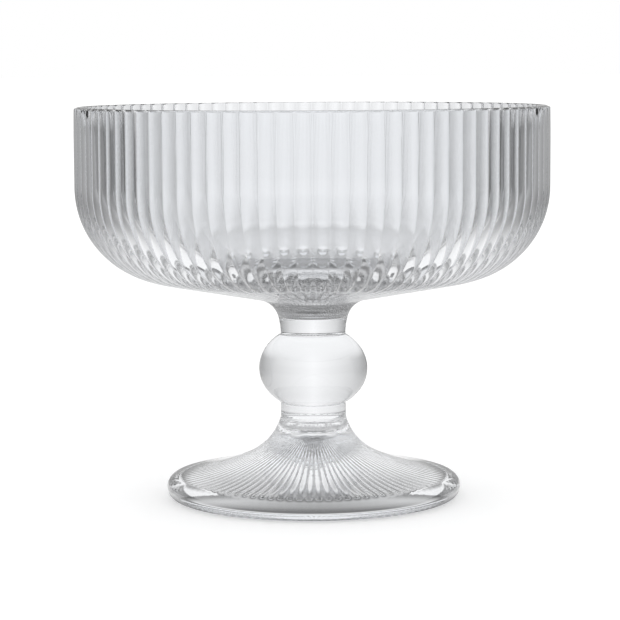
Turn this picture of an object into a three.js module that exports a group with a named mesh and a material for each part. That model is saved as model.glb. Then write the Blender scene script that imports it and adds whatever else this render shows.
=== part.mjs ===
// Pedestal dessert coupe in clear pressed glass: a wide ribbed bowl on a ball stem and a flared foot.
// Millimetres, +Z up, origin on the table under the middle of the foot.
// The pieces are gathers of glass welded hot, so each meets the next on a flat, level weld face.

import * as THREE from 'three';

// Overall sizes
const coupeHeight = 91.2;
const bowlDiameter = 110;
const footDiameter = 68.8;

// Stem, stacked upwards from the table
const footHeight = 18.7;
const lowerCollarHeight = 3.5;
const knopHeight = 16;
const upperCollarHeight = 4.1;
const footNeckDiameter = 15.3;
const knopNeckDiameter = 15.1;
const bowlNeckDiameter = 16.2;
const knopDiameter = 25.3;

// Outside of the bowl: upright wall, round corner, and an underside that rises outwards from the neck
const wallHeight = 18.4;
const bowlCornerRadius = 22.2;
const undersideRise = THREE.MathUtils.degToRad(10.6);
const bowlFlareStart = 1;
const bowlFlareWidth = 5.4;

// Inside of the bowl
const bowlDepth = 39.5;
const insideCornerRadius = 18.5;
const floorRise = THREE.MathUtils.degToRad(6);
const wallThickness = 2.4;

// Rim: a plain round edge, level with the bottoms of the grooves
const rimThickness = 1.8;
const rimOuterRound = 0.6;
const rimInnerRound = 0.5;

// Ribs, equally spaced on the bowl and under the foot, with a groove between each two
const ribCount = 90;
const bowlGrooveDepth = 0.55;
const ribEndLength = 0.4;
const footGrooveDepth = 0.25;
const footGrooveTaper = 0.6;

// Top of the foot: a hollow curve between the round bead at its edge and its flared neck
const footBeadRadius = 2.6;
const footBeadMeet = THREE.MathUtils.degToRad(81);
const footDipDiameter = 46;
const footDipHeight = 6.6;
const footShoulderDiameter = 30.8;
const footShoulderHeight = 10;
const footFlareDiameter = 18.8;

// Underside of the foot: flat resting ring, upright step, and a hollow that climbs like a bell under the neck
const restingRingWidth = 0.8;
const hollowStepHeight = 3.5;
const footSkin = 2.6;
const crownBelowWeld = 5.2;
const bellTopBelowCrown = 1;
const bellTopDiameter = 9;
const bellBendDiameter = 14;

// Facets: two to a rib on the ribbed pieces
const ribbedFacets = 2 * ribCount;
const stemFacets = ribbedFacets / 3;

// Heights of the weld faces
const footWeld = footHeight;
const knopBottomWeld = footWeld + lowerCollarHeight;
const knopTopWeld = knopBottomWeld + knopHeight;
const bowlWeld = knopTopWeld + upperCollarHeight;

function clearGlass() {
  return new THREE.MeshStandardMaterial({ color: 0xe9eef0, roughness: 0.03, metalness: 0 });
}

function at(radius, height) {
  return new THREE.Vector2(radius, height);
}

function onAxis(height) {
  return at(0, height);
}

function arc(centre, radii, fromAngle, toAngle, steps) {
  const clockwise = toAngle < fromAngle;
  const curve = new THREE.EllipseCurve(centre.x, centre.y, radii.x, radii.y, fromAngle, toAngle, clockwise);
  return curve.getPoints(steps);
}

function bend(start, control, end, steps) {
  return new THREE.QuadraticBezierCurve(start, control, end).getPoints(steps);
}

// Drops each profile point that repeats the one before it
function tidyProfile(points) {
  const repeat = 1e-6;
  return points.filter((point, index) => index === 0 || point.distanceTo(points[index - 1]) > repeat);
}

// A solid of revolution about Z. Facet line 0 faces -Y.
function turn(name, points, facets, grooveDepthAt = () => 0) {
  const profile = tidyProfile(points);
  const geometry = new THREE.LatheGeometry(profile, facets);
  cutGrooves(geometry, profile, facets, grooveDepthAt);
  geometry.rotateX(Math.PI / 2);
  const mesh = new THREE.Mesh(geometry, clearGlass());
  mesh.name = name;
  return mesh;
}

// Pushes every second facet line into the glass, square to the profile, which leaves a rib between each two
function cutGrooves(geometry, profile, facets, grooveDepthAt) {
  const position = geometry.attributes.position;
  profile.forEach((point, row) => {
    const depth = grooveDepthAt(point, row);
    if (depth === 0) return;
    const along = profile[row + 1].clone().sub(profile[row - 1]).normalize();
    const groove = at(point.x - along.y * depth, point.y + along.x * depth);
    for (let line = 0; line <= facets; line += 2) {
      const angle = (line % facets) * (2 * Math.PI / facets);
      const vertex = line * profile.length + row;
      position.setXYZ(vertex, groove.x * Math.sin(angle), groove.y, groove.x * Math.cos(angle));
    }
  });
}

// The glass shell of the bowl, from its weld face up the outside, over the rim and down the inside
function makeBowl() {
  const radius = bowlDiameter / 2;
  const neck = bowlNeckDiameter / 2;
  const wallFoot = coupeHeight - wallHeight;

  const corner = at(radius - bowlCornerRadius, wallFoot);
  const cornerStart = undersideRise - Math.PI / 2;
  const cornerEnd = at(
    corner.x + bowlCornerRadius * Math.cos(cornerStart),
    corner.y + bowlCornerRadius * Math.sin(cornerStart),
  );
  const underside = (r) => at(r, cornerEnd.y - (cornerEnd.x - r) * Math.tan(undersideRise));
  const flareEnd = underside(neck + bowlFlareWidth);
  const ribTop = coupeHeight - rimOuterRound;
  const outside = [
    ...bend(at(neck, bowlWeld), underside(neck + bowlFlareStart), flareEnd, 3),
    ...arc(corner, at(bowlCornerRadius, bowlCornerRadius), cornerStart, 0, 5),
    at(radius, ribTop - ribEndLength),
  ];

  const rimRadius = radius - bowlGrooveDepth;
  const outerCentre = at(rimRadius - rimOuterRound, ribTop);
  const innerCentre = at(rimRadius - rimThickness + rimInnerRound, coupeHeight - rimInnerRound);
  const rim = [
    ...arc(outerCentre, at(rimOuterRound, rimOuterRound), 0, Math.PI / 2, 2),
    ...arc(innerCentre, at(rimInnerRound, rimInnerRound), Math.PI / 2, Math.PI, 2),
  ];

  const insideRadius = radius - wallThickness;
  const floor = (r) => at(r, coupeHeight - bowlDepth + r * Math.tan(floorRise));
  const insideCorner = floor(insideRadius - insideCornerRadius);
  insideCorner.y += insideCornerRadius / Math.cos(floorRise);
  const inside = arc(insideCorner, at(insideCornerRadius, insideCornerRadius), 0, floorRise - Math.PI / 2, 4);

  // Grooves get shallower towards the neck, where they run out; the ribs end below the rim
  const grooveDepthAt = (point, row) => {
    if (row < 2 || row >= outside.length) return 0;
    return bowlGrooveDepth * point.x / radius;
  };
  const points = [onAxis(bowlWeld), ...outside, ...rim, ...inside, floor(0)];
  return turn('bowl', points, ribbedFacets, grooveDepthAt);
}

function makeUpperCollar() {
  const lower = at(knopNeckDiameter / 2, knopTopWeld);
  const upper = at(bowlNeckDiameter / 2, bowlWeld);
  const side = bend(lower, at(lower.x, (lower.y + upper.y) / 2), upper, 3);
  return turn('upper_collar', [onAxis(knopTopWeld), ...side, onAxis(bowlWeld)], stemFacets);
}

// A flattened ball, cut level where the collars meet it
function makeBallKnop() {
  const radius = knopDiameter / 2;
  const cut = Math.acos(knopNeckDiameter / knopDiameter);
  const centre = at(0, knopBottomWeld + knopHeight / 2);
  const halfHeight = knopHeight / 2 / Math.sin(cut);
  const side = arc(centre, at(radius, halfHeight), -cut, cut, 10);
  side[0].y = knopBottomWeld;
  side[side.length - 1].y = knopTopWeld;
  return turn('ball_knop', [onAxis(knopBottomWeld), ...side, onAxis(knopTopWeld)], stemFacets);
}

function makeLowerCollar() {
  const lower = at(footNeckDiameter / 2, footWeld);
  const upper = at(knopNeckDiameter / 2, knopBottomWeld);
  return turn('lower_collar', [onAxis(footWeld), lower, upper, onAxis(knopBottomWeld)], stemFacets);
}

// The foot, from the crown of its hollow down the bell, round the bead and up to the neck
function makeFoot() {
  const radius = footDiameter / 2;
  const beadCentre = at(radius - footBeadRadius, footBeadRadius);
  const beadRadii = at(footBeadRadius, footBeadRadius);
  const bead = [
    ...arc(beadCentre, beadRadii, -Math.PI / 2, 0, 3),
    ...arc(beadCentre, beadRadii, 0, footBeadMeet, 3),
  ];
  bead[0].y = 0;
  const beadTop = bead[bead.length - 1];
  const dip = at(footDipDiameter / 2, footDipHeight);
  const shoulder = at(footShoulderDiameter / 2, footShoulderHeight);
  const climb = (shoulder.y - dip.y) / (dip.x - shoulder.x);
  const flareRadius = footFlareDiameter / 2;
  const flareControl = at(flareRadius, shoulder.y + climb * (shoulder.x - flareRadius));
  const neck = at(footNeckDiameter / 2, footWeld);
  const top = [...bend(beadTop, dip, shoulder, 4), ...bend(shoulder, flareControl, neck, 4)];

  // The hollow runs along below the top, as thick as the skin at the shoulder
  const square = Math.hypot(1, climb);
  const underShoulder = at(shoulder.x - footSkin * climb / square, shoulder.y - footSkin / square);
  const underSlope = (r) => at(r, underShoulder.y - climb * (r - underShoulder.x));
  const crown = onAxis(footWeld - crownBelowWeld);
  const bellTop = at(bellTopDiameter / 2, crown.y - bellTopBelowCrown);
  const bellBend = underSlope(bellBendDiameter / 2);
  const lean = (bellBend.x - bellTop.x) / (bellTop.y - bellBend.y);
  const crownControl = at(bellTop.x - lean * bellTopBelowCrown, crown.y);
  const stepRadius = beadCentre.x - restingRingWidth;
  const stepTop = at(stepRadius, hollowStepHeight);
  const underside = [
    ...bend(crown, crownControl, bellTop, 2),
    ...bend(bellTop, bellBend, underShoulder, 4),
    ...bend(underShoulder, underSlope(dip.x), stepTop, 4),
    at(stepRadius, 0),
  ];

  // Grooves under the foot, from the bell's top to the step, shallower towards the middle
  const grooveDepthAt = (point, row) => {
    const grooved = row < underside.length && point.x >= bellTop.x && point.x < stepRadius;
    return grooved ? footGrooveDepth * (point.x / stepRadius) ** footGrooveTaper : 0;
  };
  return turn('foot', [...underside, ...bead, ...top, onAxis(footWeld)], ribbedFacets, grooveDepthAt);
}

const coupe = new THREE.Group();
coupe.add(makeBowl(), makeUpperCollar(), makeBallKnop(), makeLowerCollar(), makeFoot());

export default coupe;
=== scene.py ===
import math

import bpy
import numpy as np
from mathutils import Matrix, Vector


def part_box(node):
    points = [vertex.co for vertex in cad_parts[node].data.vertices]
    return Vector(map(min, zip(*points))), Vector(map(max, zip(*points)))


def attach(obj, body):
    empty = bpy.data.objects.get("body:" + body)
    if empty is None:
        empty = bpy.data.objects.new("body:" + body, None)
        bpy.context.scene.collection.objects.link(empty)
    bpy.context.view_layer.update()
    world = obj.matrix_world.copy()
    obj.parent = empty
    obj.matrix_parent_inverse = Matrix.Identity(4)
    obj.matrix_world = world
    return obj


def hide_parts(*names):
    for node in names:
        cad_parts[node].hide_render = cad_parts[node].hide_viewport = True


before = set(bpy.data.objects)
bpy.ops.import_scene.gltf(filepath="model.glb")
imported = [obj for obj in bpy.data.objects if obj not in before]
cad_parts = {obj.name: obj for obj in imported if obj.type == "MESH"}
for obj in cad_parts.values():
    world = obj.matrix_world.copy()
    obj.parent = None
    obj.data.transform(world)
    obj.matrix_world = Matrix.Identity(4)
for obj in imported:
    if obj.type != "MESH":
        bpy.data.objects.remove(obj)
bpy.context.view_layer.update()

bl_info = {
    "name": "Pedestal Dessert Coupe",
    "version": (1, 0, 0),
    "blender": (4, 5, 0),
    "location": "View3D > Sidebar > Coupe",
    "description": "Builds a clear reeded glass coupe on a ball stem and a flared foot",
    "category": "Add Mesh",
}

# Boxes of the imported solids, in metres
BOWL_LOW, BOWL_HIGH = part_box("bowl")
UPPER_LOW, UPPER_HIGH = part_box("upper_collar")
KNOP_LOW, KNOP_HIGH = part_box("ball_knop")
LOWER_LOW, LOWER_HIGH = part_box("lower_collar")
FOOT_LOW, FOOT_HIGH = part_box("foot")

GLASS_MATERIAL = "clear_glass_visual"
WELD_MATERIAL = "weld_face"

# Mesh columns round a plain piece of the stem
SMOOTH_COLUMNS = 360

# Where the mesh has columns beside a valley, and where the reed's crest is, in spaces between two reeds
COLUMN_REACHES = (0.03, 0.12, 0.24, 0.37)
CREST_REACH = 0.5

# Heights of the ripple noise, which runs from 0 to 1, where haze begins and where it is full
HAZE_BEGINS = 0.5
HAZE_FULL = 0.9

# The stem between its two outer welds
STEM_MIDDLE = (LOWER_LOW.z + UPPER_HIGH.z) / 2
STEM_HALF = (UPPER_HIGH.z - LOWER_LOW.z) / 2


class CoupeBowlSizes(bpy.types.PropertyGroup):
    """Sizes of the bowl."""

    wall_height: bpy.props.FloatProperty(
        name="Wall height", description="Upright part of the wall, up to the rim",
        default=0.0184, unit="LENGTH")
    corner_radius: bpy.props.FloatProperty(
        name="Corner radius", description="Round of the outside between wall and underside",
        default=0.0222, unit="LENGTH")
    underside_rise: bpy.props.FloatProperty(
        name="Underside rise", description="Slope of the underside, outwards from the neck",
        default=math.radians(10.6), subtype="ANGLE")
    flare_start: bpy.props.FloatProperty(
        name="Flare start", description="How far outside the neck the flare begins to turn",
        default=0.001, unit="LENGTH")
    flare_width: bpy.props.FloatProperty(
        name="Flare width", description="Width of the flare from the neck to the underside",
        default=0.0054, unit="LENGTH")
    depth: bpy.props.FloatProperty(
        name="Depth", description="From the rim down to the middle of the floor",
        default=0.0395, unit="LENGTH")
    inside_corner_radius: bpy.props.FloatProperty(
        name="Inside corner radius", description="Round of the inside between wall and floor",
        default=0.0185, unit="LENGTH")
    floor_rise: bpy.props.FloatProperty(
        name="Floor rise", description="Slope of the floor, outwards from its middle",
        default=math.radians(6), subtype="ANGLE")
    wall_thickness: bpy.props.FloatProperty(
        name="Wall thickness", description="Glass at the foot of the wall, out to the reeds' crests",
        default=0.0024, unit="LENGTH")
    rim_thickness: bpy.props.FloatProperty(
        name="Rim thickness", description="Glass at the rim",
        default=0.0018, unit="LENGTH")
    rim_inner_round: bpy.props.FloatProperty(
        name="Rim inner round", description="Radius of the rim's rounded inner edge",
        default=0.0005, unit="LENGTH")
    rim_outer_round: bpy.props.FloatProperty(
        name="Rim outer round", description="Radius of the rim's rounded outer edge",
        default=0.0006, unit="LENGTH")


class CoupeStemSizes(bpy.types.PropertyGroup):
    """Sizes of the ball and its collars."""

    waist_radius: bpy.props.FloatProperty(
        name="Waist radius", description="Radius where the ball meets a collar",
        default=0.00755, unit="LENGTH")


class CoupeFootSizes(bpy.types.PropertyGroup):
    """Sizes of the foot."""

    bead_radius: bpy.props.FloatProperty(
        name="Bead radius", description="Round bead that forms the edge",
        default=0.0026, unit="LENGTH")
    bead_meet: bpy.props.FloatProperty(
        name="Bead meet", description="Turn up round the bead, from level outside to where the top meets it",
        default=math.radians(81), subtype="ANGLE")
    shoulder_height: bpy.props.FloatProperty(
        name="Shoulder height", description="Height where the top turns up into the neck",
        default=0.0100, unit="LENGTH")
    shoulder_radius: bpy.props.FloatProperty(
        name="Shoulder radius", description="Radius where the top turns up into the neck",
        default=0.0154, unit="LENGTH")
    dip_radius: bpy.props.FloatProperty(
        name="Dip radius", description="Radius that the hollow-curved top bends towards",
        default=0.0230, unit="LENGTH")
    dip_height: bpy.props.FloatProperty(
        name="Dip height", description="Height that the hollow-curved top bends towards",
        default=0.0066, unit="LENGTH")
    flare_radius: bpy.props.FloatProperty(
        name="Flare radius", description="Radius that the flare to the neck bends towards",
        default=0.0094, unit="LENGTH")
    ring_width: bpy.props.FloatProperty(
        name="Resting ring", description="Width of the flat ring that the coupe stands on",
        default=0.0008, unit="LENGTH")
    ring_round: bpy.props.FloatProperty(
        name="Ring round", description="Rounds above and below the ring's inside wall",
        default=0.0003, unit="LENGTH")
    skin: bpy.props.FloatProperty(
        name="Skin", description="Thickness of the foot at its shoulder",
        default=0.0026, unit="LENGTH")
    bell_bend: bpy.props.FloatProperty(
        name="Bell bend", description="Radius that the hollow's side bends towards, under the neck",
        default=0.0070, unit="LENGTH")
    bell_radius: bpy.props.FloatProperty(
        name="Bell radius", description="Radius of the hollow where its side runs into the crown",
        default=0.0045, unit="LENGTH")
    bell_height: bpy.props.FloatProperty(
        name="Bell height", description="Height where the hollow's side runs into the crown",
        default=0.0125, unit="LENGTH")
    crown_height: bpy.props.FloatProperty(
        name="Crown height", description="Height of the hollow's middle, up inside the neck",
        default=0.0135, unit="LENGTH")
    hollow_step: bpy.props.FloatProperty(
        name="Hollow step", description="Height of the ring's inside wall, from the table to the reeds",
        default=0.0035, unit="LENGTH")
    hollow_middle: bpy.props.FloatProperty(
        name="Hollow middle", description="Radius of the plain middle of the hollow",
        default=0.0035, unit="LENGTH")
    reed_stop: bpy.props.FloatProperty(
        name="Reed stop", description="Length of the reeds' short ends at the plain middle",
        default=0.0006, unit="LENGTH")


class CoupeReeds(bpy.types.PropertyGroup):
    """The rounded reeds that stand side by side round the bowl and under the foot."""

    count: bpy.props.IntProperty(
        name="Reeds", description="Reeds round the bowl, and as many under the foot", default=90)
    bowl_depth: bpy.props.FloatProperty(
        name="Bowl depth", description="From a reed's crest to the valley beside it, on the wall",
        default=0.00055, unit="LENGTH")
    foot_depth: bpy.props.FloatProperty(
        name="Foot depth", description="From a reed's crest to its valley, at the reeds' outer ends",
        default=0.00025, unit="LENGTH")
    foot_taper: bpy.props.FloatProperty(
        name="Foot reed taper", description="Power of the radius that those reeds deepen with",
        default=0.6)
    end_height: bpy.props.FloatProperty(
        name="End height", description="Height of a reed's round end below the rim",
        default=0.0006, unit="LENGTH")
    end_drop: bpy.props.FloatProperty(
        name="End drop", description="How far below the rim's top the reeds on the bowl end",
        default=0.0003, unit="LENGTH")
    run_out: bpy.props.FloatProperty(
        name="Run out", description="Height above the weld within which the valleys on the bowl run out",
        default=0.0015, unit="LENGTH")
    seam_bearing: bpy.props.FloatProperty(
        name="Seam bearing", description="Turn from the front to the mould's seam; the other is opposite",
        default=math.radians(82), subtype="ANGLE")
    seam_height: bpy.props.FloatProperty(
        name="Seam height", description="How far the mould's seam stands out on the plain glass",
        default=0.00006, unit="LENGTH")


class CoupeGlassLook(bpy.types.PropertyGroup):
    """The finish of the glass."""

    tint: bpy.props.FloatVectorProperty(
        name="Tint", description="Colour of the glass", subtype="COLOR", size=4,
        default=(0.972, 0.983, 1.0, 1.0))
    refraction: bpy.props.FloatProperty(
        name="Refraction", description="Index of refraction of the glass", default=1.5)
    haze: bpy.props.FloatProperty(
        name="Haze", description="Roughness of the dullest patches of the pressed surface", default=0.012)
    ripple_size: bpy.props.FloatProperty(
        name="Ripple size", description="Spacing of the faint ripples of the pressed surface",
        default=0.005, unit="LENGTH")
    ripple_height: bpy.props.FloatProperty(
        name="Ripple height", description="Height of the faint ripples",
        default=0.000012, unit="LENGTH")
    wrinkle_size: bpy.props.FloatProperty(
        name="Wrinkle size", description="Size of the chill wrinkles around the stem's two ends",
        default=0.0012, unit="LENGTH")
    wrinkle_height: bpy.props.FloatProperty(
        name="Wrinkle height", description="Height of the chill wrinkles",
        default=0.00006, unit="LENGTH")
    wrinkle_reach: bpy.props.FloatProperty(
        name="Wrinkle reach", description="Radius beyond which the wrinkles have died out",
        default=0.024, unit="LENGTH")


class CoupeStageLook(bpy.types.PropertyGroup):
    """Camera, floor with the shadows painted on it that glass shows, and studio light."""

    camera_distance: bpy.props.FloatProperty(
        name="Camera distance", description="From the stem's axis, level", default=0.548, unit="LENGTH")
    camera_height: bpy.props.FloatProperty(
        name="Camera height", description="Above the table", default=0.1014, unit="LENGTH")
    camera_side: bpy.props.FloatProperty(
        name="Camera side", description="Sideways from the axis", default=-0.00068, unit="LENGTH")
    camera_tilt: bpy.props.FloatProperty(
        name="Camera tilt", description="Downward tilt", default=0.1049, subtype="ANGLE")
    camera_roll: bpy.props.FloatProperty(
        name="Camera roll", description="Turn about the line of sight", default=-0.005, subtype="ANGLE")
    lens: bpy.props.FloatProperty(
        name="Lens", description="Focal length in millimetres", default=137.1)
    floor_size: bpy.props.FloatProperty(
        name="Floor size", description="Side of the square floor", default=30.0, unit="LENGTH")
    floor_colour: bpy.props.FloatVectorProperty(
        name="Floor colour", description="Colour of the floor", subtype="COLOR", size=4,
        default=(0.85, 0.85, 0.85, 1.0))
    floor_roughness: bpy.props.FloatProperty(
        name="Floor roughness", description="Roughness of the floor", default=0.9)
    floor_lift: bpy.props.FloatProperty(
        name="Floor lift", description="Light that the floor adds for the camera, so that it shows white",
        default=0.3)
    floor_drop: bpy.props.FloatProperty(
        name="Floor drop", description="Gap between the coupe and the floor's surface",
        default=0.0002, unit="LENGTH")
    # Painted shadow of the foot on the floor that glass shows: dim under the foot's front
    front_shadow_light: bpy.props.FloatProperty(
        name="Under front", description="Brightness of the floor under the foot's front, as glass shows it",
        default=0.15)
    under_back_light: bpy.props.FloatProperty(
        name="Under back", description="Brightness of the floor under the foot's back, as glass shows it",
        default=1.0)
    # Where along Y that painted shadow under the foot fades out
    under_front: bpy.props.FloatProperty(
        name="Front at", description="Place along Y where the floor under the foot begins to brighten",
        default=-0.014, unit="LENGTH")
    under_back: bpy.props.FloatProperty(
        name="Back at", description="Place along Y where the floor under the foot is brightest",
        default=0.012, unit="LENGTH")
    under_near: bpy.props.FloatProperty(
        name="Under from", description="Radius where the floor under the foot begins to give way",
        default=0.018, unit="LENGTH")
    under_far: bpy.props.FloatProperty(
        name="Under to", description="Radius where the floor under the foot has given way",
        default=0.036, unit="LENGTH")
    # Painted shadow of the bowl on the floor that glass shows around the foot (none at 1), giving way
    # further off to painted shade that follows the walls' flags
    around_shadow_light: bpy.props.FloatProperty(
        name="Around", description="Brightness of the floor around the foot, as glass shows it",
        default=1.0)
    around_near: bpy.props.FloatProperty(
        name="Around from", description="Radius where the floor begins to take on the walls' brightness",
        default=0.045, unit="LENGTH")
    around_far: bpy.props.FloatProperty(
        name="Around to", description="Radius from which the floor is as bright as the wall beyond it",
        default=0.17, unit="LENGTH")
    # Painted contact shadow: a dark ring on the floor that glass shows, where the foot rests
    contact_shadow_light: bpy.props.FloatProperty(
        name="Contact", description="Share of the floor's brightness that is left where the foot rests",
        default=0.1)
    contact_shadow_radius: bpy.props.FloatProperty(
        name="Contact radius", description="Middle of the dark ring where the foot rests",
        default=0.0318, unit="LENGTH")
    contact_shadow_core: bpy.props.FloatProperty(
        name="Contact core", description="Half the width of that ring's darkest part",
        default=0.001, unit="LENGTH")
    contact_shadow_fade: bpy.props.FloatProperty(
        name="Contact fade", description="Half the width of that ring with its soft edges",
        default=0.005, unit="LENGTH")
    flag_light: bpy.props.FloatProperty(
        name="Flag", description="Brightness of the grey flag off each side, which the wall dims towards",
        default=0.3)
    flag_near: bpy.props.FloatProperty(
        name="Flag from", description="Turn from straight behind the coupe to where a flag is darkest",
        default=math.radians(72), subtype="ANGLE")
    flag_far: bpy.props.FloatProperty(
        name="Flag to", description="Turn from straight behind the coupe to where a flag begins to clear",
        default=math.radians(78), subtype="ANGLE")
    flag_end: bpy.props.FloatProperty(
        name="Flag end", description="Turn from straight behind the coupe to where a flag has ended",
        default=math.radians(92), subtype="ANGLE")
    ceiling: bpy.props.FloatProperty(
        name="Ceiling", description="Brightness straight overhead as a share of the walls'", default=0.2)
    ceiling_low: bpy.props.FloatProperty(
        name="Ceiling from", description="Height in the studio's dome where the light begins to dim",
        default=0.5)
    ceiling_high: bpy.props.FloatProperty(
        name="Ceiling to", description="Height in the studio's dome where the ceiling is dimmest",
        default=0.9)
    mirror_dim: bpy.props.FloatProperty(
        name="Mirror dim", description="Share of the fading light that is left after each reflection",
        default=0.15)
    mirror_rest: bpy.props.FloatProperty(
        name="Mirror rest", description="Share of the light that reflections in the glass don't fade",
        default=0.5)
    mirror_level: bpy.props.FloatProperty(
        name="Mirror level", description="Height in the studio's dome up to which reflected light fades",
        default=0.15)
    mirror_clear: bpy.props.FloatProperty(
        name="Mirror clear", description="Height in the studio's dome from which it doesn't fade",
        default=0.35)
    mirror_near: bpy.props.FloatProperty(
        name="Mirror near", description="Distance on the floor up to which reflected light doesn't fade",
        default=0.1, unit="LENGTH")
    mirror_far: bpy.props.FloatProperty(
        name="Mirror far", description="Distance on the floor from which reflected light fades fully",
        default=0.3, unit="LENGTH")
    glass_bounces: bpy.props.IntProperty(
        name="Glass bounces", description="How often light may turn inside the glass", default=10)


# Profiles: rows of (radius, height), with the glass on the left

def arc_rows(centre, radius, start, end, steps):
    """Rows along a circle's arc, ends included; a pair of radii makes an ellipse's."""
    angles = np.linspace(start, end, steps + 1)[:, None]
    return np.array(centre) + radius * np.hstack((np.cos(angles), np.sin(angles)))


def bend_rows(start, control, end, steps):
    """Rows along a curve from start to end that bends towards the control point."""
    share = np.linspace(0, 1, steps + 1)[:, None]
    start, control, end = np.array(start), np.array(control), np.array(end)
    return (1 - share) ** 2 * start + 2 * share * (1 - share) * control + share ** 2 * end


def line_rows(start, end, steps):
    """Rows along a straight line, ends included."""
    share = np.linspace(0, 1, steps + 1)[:, None]
    return (1 - share) * np.array(start) + share * np.array(end)


def join_rows(*stretches):
    """One profile from stretches that each begin where the last one ended."""
    rest = [stretch[1:] for stretch in stretches[1:]]
    return np.vstack([stretches[0], *rest])


def outward_normals(rows):
    """Unit normals of a profile, away from the glass."""
    along = np.gradient(rows, axis=0)
    along /= np.linalg.norm(along, axis=1)[:, None]
    return np.column_stack((along[:, 1], -along[:, 0]))


# Reeds

def reed_columns(reeds):
    """Angles of the mesh's columns, and how far each lies from the nearest valley, in spaces."""
    side = np.array(COLUMN_REACHES)
    across = np.concatenate((-side[::-1], [0], side, [CREST_REACH]))
    turn = (np.arange(reeds.count)[:, None] + across) * 2 * np.pi / reeds.count
    return turn.ravel(), np.tile(np.abs(across), reeds.count)


def valley(reach):
    """Depth beside a rounded reed, as a share of its valley's, at a reach from the valley in spaces."""
    return np.clip(1 - reach / CREST_REACH, 0, 1) ** 2


def seam_columns(reeds, turn):
    """Which columns lie where the two halves of the mould met."""
    return np.isclose(turn % math.pi, reeds.seam_bearing)


# Meshes

def spin(rows, turn, cut):
    """Vertices and faces of a closed turned solid; cut holds how far each point is pressed in."""
    normals = outward_normals(rows)[1:-1]
    middle = rows[1:-1]
    radius = middle[:, :1] - cut * normals[:, :1]
    height = middle[:, 1:] - cut * normals[:, 1:]
    rings = np.stack((radius * np.sin(turn), -radius * np.cos(turn), height), -1).reshape(-1, 3)
    vertices = np.vstack(([(0, 0, rows[0, 1])], rings, [(0, 0, rows[-1, 1])]))

    columns = len(turn)
    here = 1 + np.arange(columns)
    there = 1 + (np.arange(columns) + 1) % columns
    bottom = np.column_stack((np.zeros_like(here), there, here))
    lower = (np.arange(len(middle) - 1) * columns)[:, None]
    bands = np.stack((lower + here, lower + there, lower + columns + there, lower + columns + here), -1)
    last = (len(middle) - 1) * columns
    top = np.column_stack((last + here, last + there, np.full_like(here, len(vertices) - 1)))
    return vertices, [*bottom.tolist(), *bands.reshape(-1, 4).tolist(), *top.tolist()]


def make_piece(name, rows, turn, cut, weld_below=False, weld_above=False):
    """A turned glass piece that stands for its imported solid; its weld ends let light straight through."""
    vertices, faces = spin(rows, turn, cut)
    mesh = bpy.data.meshes.new(name)
    mesh.from_pydata(vertices.tolist(), [], faces)
    mesh.materials.append(clear_glass())
    mesh.materials.append(weld_face())
    weld = np.zeros(len(faces), bool)
    weld[:len(turn)] = weld_below
    weld[-len(turn):] = weld_above
    mesh.polygons.foreach_set("use_smooth", ~weld)
    mesh.polygons.foreach_set("material_index", weld.astype(np.int32))
    mesh.update()
    piece = bpy.data.objects.new(name + "_glass", mesh)
    bpy.context.scene.collection.objects.link(piece)
    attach(piece, "root")
    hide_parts(name)


def make_smooth_piece(name, side):
    """A plain turned piece of the stem, welded at both ends."""
    rows = np.vstack(([(0, side[0][1])], side, [(0, side[-1][1])]))
    turn = np.arange(SMOOTH_COLUMNS) * 2 * np.pi / SMOOTH_COLUMNS
    reeds = bpy.context.scene.coupe_reeds
    cut = np.zeros((len(side), SMOOTH_COLUMNS))
    cut[1:-1, seam_columns(reeds, turn)] = -reeds.seam_height
    make_piece(name, rows, turn, cut, weld_below=True, weld_above=True)


# Nodes

def add_node(tree, kind, **settings):
    """A new shader node with these settings."""
    node = tree.nodes.new("ShaderNode" + kind)
    for name, value in settings.items():
        setattr(node, name, value)
    return node


def feed(tree, socket, value):
    """Link another node's output to a socket, or set the socket to a plain value."""
    if isinstance(value, bpy.types.NodeSocket):
        tree.links.new(value, socket)
    else:
        socket.default_value = value


def calculate(tree, operation, first, second=0.0):
    """The output of a Math node."""
    node = add_node(tree, "Math", operation=operation)
    feed(tree, node.inputs[0], first)
    feed(tree, node.inputs[1], second)
    return node.outputs["Value"]


def distance(tree, place):
    """How far a place is from the origin."""
    node = add_node(tree, "VectorMath", operation="LENGTH")
    feed(tree, node.inputs[0], place)
    return node.outputs["Value"]


def split(tree, place):
    """The X, Y and Z of a place or a direction."""
    node = add_node(tree, "SeparateXYZ")
    feed(tree, node.inputs[0], place)
    return node.outputs


def ease(tree, value, start, end, low, high, run="SMOOTHSTEP"):
    """Low up to start, high from end on, and a smooth run between, or a straight one."""
    node = add_node(tree, "MapRange", interpolation_type=run)
    feed(tree, node.inputs["Value"], value)
    feed(tree, node.inputs["From Min"], start)
    feed(tree, node.inputs["From Max"], end)
    feed(tree, node.inputs["To Min"], low)
    feed(tree, node.inputs["To Max"], high)
    return node.outputs["Result"]


def blend(tree, share, first, second):
    """A number that goes from first to second as the share goes from 0 to 1."""
    node = add_node(tree, "Mix", data_type="FLOAT")
    feed(tree, node.inputs[0], share)
    feed(tree, node.inputs[2], first)
    feed(tree, node.inputs[3], second)
    return node.outputs[0]


# Finishes

def noise(tree, place, size):
    """A noise from 0 to 1, with bumps of about this size."""
    node = add_node(tree, "TexNoise")
    feed(tree, node.inputs["Vector"], place)
    feed(tree, node.inputs["Scale"], 1 / size)
    return node.outputs["Fac"]


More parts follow.
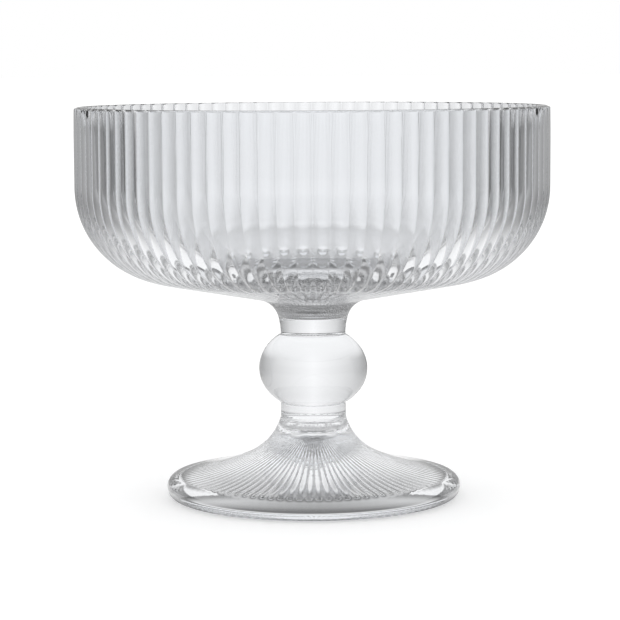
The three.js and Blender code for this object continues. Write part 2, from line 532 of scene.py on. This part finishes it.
def chill_wrinkles(tree, place, look):
    """Height of the chill wrinkles: beyond the stem's two outer welds, dying out away from its axis."""
    parts = split(tree, place)
    from_middle = calculate(tree, "SUBTRACT", parts["Z"], STEM_MIDDLE)
    off_stem = calculate(tree, "ABSOLUTE", from_middle)
    full = STEM_HALF + look.wrinkle_size
    beyond_welds = ease(tree, off_stem, STEM_HALF, full, 0.0, look.wrinkle_height)
    across = calculate(tree, "POWER", parts["X"], 2.0)
    along = calculate(tree, "POWER", parts["Y"], 2.0)
    away = calculate(tree, "SQRT", calculate(tree, "ADD", across, along))
    near_axis = ease(tree, away, look.wrinkle_reach / 2, look.wrinkle_reach, 1.0, 0.0)
    height = calculate(tree, "MULTIPLY", beyond_welds, near_axis)
    return calculate(tree, "MULTIPLY", noise(tree, place, look.wrinkle_size), height)


def clear_glass():
    """Clear pressed glass, fire-polished, with faint ripples, chill wrinkles and a trace of haze."""
    found = bpy.data.materials.get(GLASS_MATERIAL)
    if found:
        return found
    look = bpy.context.scene.coupe_glass
    material = bpy.data.materials.new(GLASS_MATERIAL)
    material.use_nodes = True
    tree = material.node_tree
    shader = tree.nodes["Principled BSDF"]
    shader.inputs["Base Color"].default_value = look.tint
    shader.inputs["IOR"].default_value = look.refraction
    shader.inputs["Transmission Weight"].default_value = 1.0
    place = add_node(tree, "TexCoord").outputs["Object"]
    ripple = noise(tree, place, look.ripple_size)
    ripples = calculate(tree, "MULTIPLY", ripple, look.ripple_height)
    wrinkles = chill_wrinkles(tree, place, look)
    bump = add_node(tree, "Bump")
    feed(tree, bump.inputs["Distance"], 1.0)
    feed(tree, bump.inputs["Height"], calculate(tree, "ADD", ripples, wrinkles))
    feed(tree, shader.inputs["Normal"], bump.outputs["Normal"])
    haze = ease(tree, ripple, HAZE_BEGINS, HAZE_FULL, 0.0, look.haze)
    feed(tree, shader.inputs["Roughness"], haze)
    return material


def weld_face():
    """The joint inside the glass, where two pieces are fused: light goes straight through it."""
    found = bpy.data.materials.get(WELD_MATERIAL)
    if found:
        return found
    material = bpy.data.materials.new(WELD_MATERIAL)
    material.use_nodes = True
    tree = material.node_tree
    tree.nodes.clear()
    clear = add_node(tree, "BsdfTransparent")
    feed(tree, add_node(tree, "OutputMaterial").inputs["Surface"], clear.outputs["BSDF"])
    return material


# Pieces

class COUPE_OT_bowl(bpy.types.Operator):
    """Make the reeded bowl"""

    bl_idname = "coupe.bowl"
    bl_label = "Bowl"

    def execute(self, context):
        sizes = context.scene.coupe_bowl
        reeds = context.scene.coupe_reeds
        radius = BOWL_HIGH.x
        top = BOWL_HIGH.z
        weld = BOWL_LOW.z
        neck = UPPER_HIGH.x

        # Outside, from the weld up
        corner = (radius - sizes.corner_radius, top - sizes.wall_height)
        corner_start = sizes.underside_rise - math.pi / 2
        corner_rows = arc_rows(corner, sizes.corner_radius, corner_start, 0, steps=26)
        corner_foot = corner_rows[0]

        def underside(away):
            return (away, corner_foot[1] - (corner_foot[0] - away) * math.tan(sizes.underside_rise))

        flare_end = underside(neck + sizes.flare_width)
        rim_foot = (radius, top - sizes.rim_outer_round)
        crests = join_rows(
            bend_rows((neck, weld), underside(neck + sizes.flare_start), flare_end, steps=14),
            line_rows(flare_end, corner_foot, steps=8),
            corner_rows,
            line_rows(corner_rows[-1], rim_foot, steps=3),
        )
        run_out = np.clip((crests[:, 1:] - weld) / reeds.run_out, 0, 1)
        depth = reeds.bowl_depth * crests[:, :1] / radius * run_out
        rim_radius = radius - reeds.bowl_depth
        rim_outer = (rim_radius - sizes.rim_outer_round, rim_foot[1])
        outer_rows = arc_rows(rim_outer, sizes.rim_outer_round, 0, math.pi / 2, steps=12)
        outside = join_rows(crests - depth * outward_normals(crests), outer_rows)

        # Inside, from the rim down
        def floor(away):
            return (away, top - sizes.depth + away * math.tan(sizes.floor_rise))

        inside_radius = radius - sizes.wall_thickness
        corner_radius = sizes.inside_corner_radius
        inside_corner = np.array(floor(inside_radius - corner_radius))
        inside_corner[1] += corner_radius / math.cos(sizes.floor_rise)
        inner_round = sizes.rim_inner_round
        rim_inner = (rim_radius - sizes.rim_thickness + inner_round, top - inner_round)
        inner_rows = arc_rows(rim_inner, inner_round, math.pi / 2, math.pi, steps=5)
        corner_end = sizes.floor_rise - math.pi / 2
        inside_rows = arc_rows(inside_corner, corner_radius, 0, corner_end, steps=18)
        inside = np.vstack((
            inner_rows,
            line_rows(inner_rows[-1], inside_rows[0], steps=3)[1:-1],
            inside_rows,
            line_rows(inside_rows[-1], floor(0), steps=5)[1:],
        ))

        # Reeds raised on the outside; each one ends in a round top below the rim
        rows = np.vstack(([(0, weld)], outside, inside))
        turn, across = reed_columns(reeds)
        depth = np.vstack((depth, np.full((len(outside) - len(crests), 1), reeds.bowl_depth)))
        rise = np.clip((outside[:, 1:] - top + reeds.end_drop) / reeds.end_height + 1, 0, 1)
        cut = np.zeros((len(rows) - 2, len(turn)))
        cut[:len(outside)] = -depth * (1 - valley(across)) * np.sqrt(1 - rise ** 2)
        make_piece("bowl", rows, turn, cut, weld_below=True)
        return {"FINISHED"}


class COUPE_OT_collars(bpy.types.Operator):
    """Make the two short collars of the stem"""

    bl_idname = "coupe.collars"
    bl_label = "Collars"

    def execute(self, context):
        waist = context.scene.coupe_stem.waist_radius
        middle = (UPPER_LOW.z + UPPER_HIGH.z) / 2
        upper_end = (UPPER_HIGH.x, UPPER_HIGH.z)
        upper_side = bend_rows((waist, UPPER_LOW.z), (waist, middle), upper_end, steps=14)
        make_smooth_piece("upper_collar", upper_side)
        lower_side = line_rows((LOWER_HIGH.x, LOWER_LOW.z), (waist, LOWER_HIGH.z), steps=10)
        make_smooth_piece("lower_collar", lower_side)
        return {"FINISHED"}


class COUPE_OT_knop(bpy.types.Operator):
    """Make the flattened ball of the stem"""

    bl_idname = "coupe.knop"
    bl_label = "Ball knop"

    def execute(self, context):
        radius = KNOP_HIGH.x
        middle = (KNOP_LOW.z + KNOP_HIGH.z) / 2
        half = (KNOP_HIGH.z - KNOP_LOW.z) / 2
        cut = math.acos(context.scene.coupe_stem.waist_radius / radius)
        radii = np.array((radius, half / math.sin(cut)))
        make_smooth_piece("ball_knop", arc_rows((0, middle), radii, -cut, cut, steps=60))
        return {"FINISHED"}


class COUPE_OT_foot(bpy.types.Operator):
    """Make the flared foot with its reeded hollow"""

    bl_idname = "coupe.foot"
    bl_label = "Foot"

    def execute(self, context):
        sizes = context.scene.coupe_foot
        reeds = context.scene.coupe_reeds
        radius = FOOT_HIGH.x
        weld = FOOT_HIGH.z
        neck = LOWER_HIGH.x

        # Bead, hollow-curved top and flare up to the neck
        bead = (radius - sizes.bead_radius, sizes.bead_radius)
        edge = arc_rows(bead, sizes.bead_radius, -math.pi / 2, sizes.bead_meet, steps=24)
        shoulder = (sizes.shoulder_radius, sizes.shoulder_height)
        dip = (sizes.dip_radius, sizes.dip_height)
        climb = (shoulder[1] - dip[1]) / (dip[0] - shoulder[0])
        flare_bend = (sizes.flare_radius, shoulder[1] + climb * (shoulder[0] - sizes.flare_radius))
        wall = bead[0] - sizes.ring_width
        topside = join_rows(
            line_rows((wall + sizes.ring_round, 0), edge[0], steps=2),
            edge,
            bend_rows(edge[-1], dip, shoulder, steps=14),
            bend_rows(shoulder, flare_bend, (neck, weld), steps=16),
            [(neck, weld), (0, weld)],
        )

        # Underside, from the crown of the hollow down its bell to the resting ring
        square = math.hypot(1, climb)
        under_shoulder = (shoulder[0] - sizes.skin * climb / square, shoulder[1] - sizes.skin / square)

        def under_slope(away):
            return (away, under_shoulder[1] - climb * (away - under_shoulder[0]))

        round_off = sizes.ring_round
        bell_bend = under_slope(sizes.bell_bend)
        bell_top = (sizes.bell_radius, sizes.bell_height)
        lean = (bell_bend[0] - bell_top[0]) / (bell_top[1] - bell_bend[1])
        crown_bend = (bell_top[0] - lean * (sizes.crown_height - bell_top[1]), sizes.crown_height)
        under_dip = under_slope(sizes.dip_radius)
        inward = (under_dip[1] - sizes.hollow_step) / (wall - under_dip[0])
        step_start = (wall - round_off, sizes.hollow_step + inward * round_off)
        step_end = (wall, sizes.hollow_step - round_off)
        underside = join_rows(
            bend_rows((0, sizes.crown_height), crown_bend, bell_top, steps=8),
            bend_rows(bell_top, bell_bend, under_shoulder, steps=16),
            bend_rows(under_shoulder, under_dip, step_start, steps=14),
            bend_rows(step_start, (wall, sizes.hollow_step), step_end, steps=5),
            line_rows(step_end, (wall, round_off), steps=4),
            bend_rows((wall, round_off), (wall, 0), topside[0], steps=5),
        )

        # Reeds under the foot, from the plain middle to the step, and a seam along the top
        rows = join_rows(underside, topside)
        turn, across = reed_columns(reeds)
        under = underside[1:-1, :1]
        run_out = np.clip((under - sizes.hollow_middle) / sizes.reed_stop, 0, 1)
        run_out *= np.clip((wall - under) / round_off, 0, 1)
        depth = reeds.foot_depth * (under / wall) ** reeds.foot_taper * run_out
        cut = np.zeros((len(rows) - 2, len(turn)))
        cut[:len(under)] = depth * valley(across)
        seam_from = len(under) + len(edge)
        cut[seam_from:-1, seam_columns(reeds, turn)] = -reeds.seam_height
        make_piece("foot", rows, turn, cut, weld_above=True)
        return {"FINISHED"}


# Stage

def make_camera(look):
    """The photograph's view, tilted down a little."""
    data = bpy.data.cameras.new("camera")
    data.lens = look.lens
    camera = bpy.data.objects.new("camera", data)
    camera.location = (look.camera_side, -look.camera_distance, look.camera_height)
    level = Matrix.Rotation(math.pi / 2 - look.camera_tilt, 4, "X")
    roll = Matrix.Rotation(look.camera_roll, 4, "Z")
    camera.rotation_euler = (level @ roll).to_euler()
    bpy.context.scene.collection.objects.link(camera)
    bpy.context.scene.camera = camera


def make_floor(look):
    """A wide level floor, just under the coupe."""
    half = look.floor_size / 2
    corners = [(-half, -half, 0), (half, -half, 0), (half, half, 0), (-half, half, 0)]
    mesh = bpy.data.meshes.new("floor")
    mesh.from_pydata(corners, [], [(0, 1, 2, 3)])
    mesh.materials.append(floor_white(look))
    floor = bpy.data.objects.new("floor", mesh)
    floor.location.z = -look.floor_drop
    bpy.context.scene.collection.objects.link(floor)


def floor_white(look):
    """White with the coupe's shadow for the camera; glass shows the floor as floor_in_glass has it, with
    painted shadows.
    """
    material = bpy.data.materials.new("floor_white")
    material.use_nodes = True
    tree = material.node_tree
    shader = tree.nodes["Principled BSDF"]
    shader.inputs["Base Color"].default_value = look.floor_colour
    shader.inputs["Roughness"].default_value = look.floor_roughness
    shader.inputs["Specular IOR Level"].default_value = 0.0
    shader.inputs["Emission Color"].default_value = (1, 1, 1, 1)
    ray = add_node(tree, "LightPath")
    lift = calculate(tree, "MULTIPLY", ray.outputs["Is Camera Ray"], look.floor_lift)
    feed(tree, shader.inputs["Emission Strength"], lift)
    shown = add_node(tree, "Emission")
    feed(tree, shown.inputs["Strength"], floor_in_glass(tree, ray, look))
    through = ray.outputs["Is Transmission Ray"]
    mirrored = ray.outputs["Is Glossy Ray"]
    mix = add_node(tree, "MixShader")
    feed(tree, mix.inputs[0], calculate(tree, "MAXIMUM", through, mirrored))
    feed(tree, mix.inputs[1], shader.outputs["BSDF"])
    feed(tree, mix.inputs[2], shown.outputs["Emission"])
    feed(tree, tree.nodes["Material Output"].inputs["Surface"], mix.outputs["Shader"])
    return material


def floor_in_glass(tree, ray, look):
    """Brightness of the floor as glass shows it, with painted shadows: the foot's painted shadow dims it
    under the foot's front, a painted contact shadow is darkest where it rests, and painted shade that
    follows the walls' flags dims it further off.
    """
    place = add_node(tree, "TexCoord").outputs["Object"]
    away = distance(tree, place)
    along = split(tree, place)["Y"]
    # Painted shadow of the foot: dim under its front, fading to bright under its back
    under = ease(tree, along, look.under_front, look.under_back,
                 look.front_shadow_light, look.under_back_light)
    # Painted shade on the floor that glass shows: around the foot at the painted shadow's level, further off
    # dimming by bearing like the walls' flags
    walls = wall_light(tree, place, look)
    around = ease(tree, away, look.around_near, look.around_far, look.around_shadow_light, walls)
    parting = ease(tree, away, look.under_near, look.under_far, 0.0, 1.0)
    table = blend(tree, parting, under, around)

    # Painted contact shadow: a dark ring where the foot rests
    from_ring = calculate(tree, "SUBTRACT", away, look.contact_shadow_radius)
    off_ring = calculate(tree, "ABSOLUTE", from_ring)
    contact_shadow = ease(tree, off_ring, look.contact_shadow_core, look.contact_shadow_fade, look.contact_shadow_light, 1.0)
    level = ease(tree, away, look.mirror_near, look.mirror_far, 0.0, 1.0)
    light = calculate(tree, "MULTIPLY", table, contact_shadow)
    return calculate(tree, "MULTIPLY", light, light_left(tree, ray, level, look))


def wall_light(tree, direction, look):
    """Brightness of the studio's wall in a direction: white behind, dimming to a flag off each side."""
    parts = split(tree, direction)
    bearing = calculate(tree, "ARCTAN2", parts["X"], parts["Y"])
    aside = calculate(tree, "ABSOLUTE", bearing)
    dimming = ease(tree, aside, 0.0, look.flag_near, 1.0, look.flag_light, run="LINEAR")
    clearing = ease(tree, aside, look.flag_far, look.flag_end, look.flag_light, 1.0)
    return calculate(tree, "MAXIMUM", dimming, clearing)


def light_left(tree, ray, level, look):
    """Share of the light that is left when a path has been reflected in the glass and leaves it level."""
    fading = calculate(tree, "POWER", look.mirror_dim, ray.outputs["Glossy Depth"])
    return blend(tree, level, 1.0, blend(tree, fading, look.mirror_rest, 1.0))


def make_world(look):
    """A white studio, dimmer towards grey flags and the ceiling; camera and floor see plain white."""
    world = bpy.data.worlds.new("studio")
    bpy.context.scene.world = world
    world.use_nodes = True
    tree = world.node_tree
    direction = add_node(tree, "TexCoord").outputs["Generated"]
    height = split(tree, direction)["Z"]
    overhead = ease(tree, height, look.ceiling_low, look.ceiling_high, 1.0, look.ceiling)
    light = calculate(tree, "MULTIPLY", wall_light(tree, direction, look), overhead)
    level = ease(tree, height, look.mirror_level, look.mirror_clear, 1.0, 0.0)
    ray = add_node(tree, "LightPath")
    light = calculate(tree, "MULTIPLY", light, light_left(tree, ray, level, look))
    plain = calculate(tree, "MAXIMUM", ray.outputs["Is Camera Ray"], ray.outputs["Diffuse Depth"])
    seen = blend(tree, plain, light, 1.0)
    feed(tree, tree.nodes["Background"].inputs["Color"], seen)


class COUPE_OT_stage(bpy.types.Operator):
    """Make the floor, the studio light and the camera"""

    bl_idname = "coupe.stage"
    bl_label = "Stage"

    def execute(self, context):
        scene = context.scene
        scene.view_settings.view_transform = "Standard"
        bounces = scene.coupe_stage.glass_bounces
        scene.cycles.max_bounces = bounces
        scene.cycles.glossy_bounces = bounces
        scene.cycles.transmission_bounces = bounces
        make_camera(scene.coupe_stage)
        make_floor(scene.coupe_stage)
        make_world(scene.coupe_stage)
        return {"FINISHED"}


class COUPE_PT_panel(bpy.types.Panel):
    """Lists the coupe's pieces and their sizes"""

    bl_idname = "COUPE_PT_panel"
    bl_label = "Dessert Coupe"
    bl_space_type = "VIEW_3D"
    bl_region_type = "UI"
    bl_category = "Coupe"

    def draw(self, context):
        for operator in OPERATORS:
            self.layout.operator(operator.bl_idname)
        for name, group in GROUPS.items():
            box = self.layout.box()
            for value in group.__annotations__:
                box.prop(getattr(context.scene, name), value)


GROUPS = {
    "coupe_bowl": CoupeBowlSizes,
    "coupe_stem": CoupeStemSizes,
    "coupe_foot": CoupeFootSizes,
    "coupe_reeds": CoupeReeds,
    "coupe_glass": CoupeGlassLook,
    "coupe_stage": CoupeStageLook,
}
OPERATORS = (COUPE_OT_stage, COUPE_OT_bowl, COUPE_OT_collars, COUPE_OT_knop, COUPE_OT_foot)


def register():
    for item in (*GROUPS.values(), *OPERATORS, COUPE_PT_panel):
        bpy.utils.register_class(item)
    for name, group in GROUPS.items():
        setattr(bpy.types.Scene, name, bpy.props.PointerProperty(type=group))


def unregister():
    for name in GROUPS:
        delattr(bpy.types.Scene, name)
    for item in (COUPE_PT_panel, *OPERATORS, *GROUPS.values()):
        bpy.utils.unregister_class(item)


def main():
    register()
    bpy.ops.coupe.stage()
    bpy.ops.coupe.bowl()
    bpy.ops.coupe.collars()
    bpy.ops.coupe.knop()
    bpy.ops.coupe.foot()


if __name__ == "__main__":
    main()
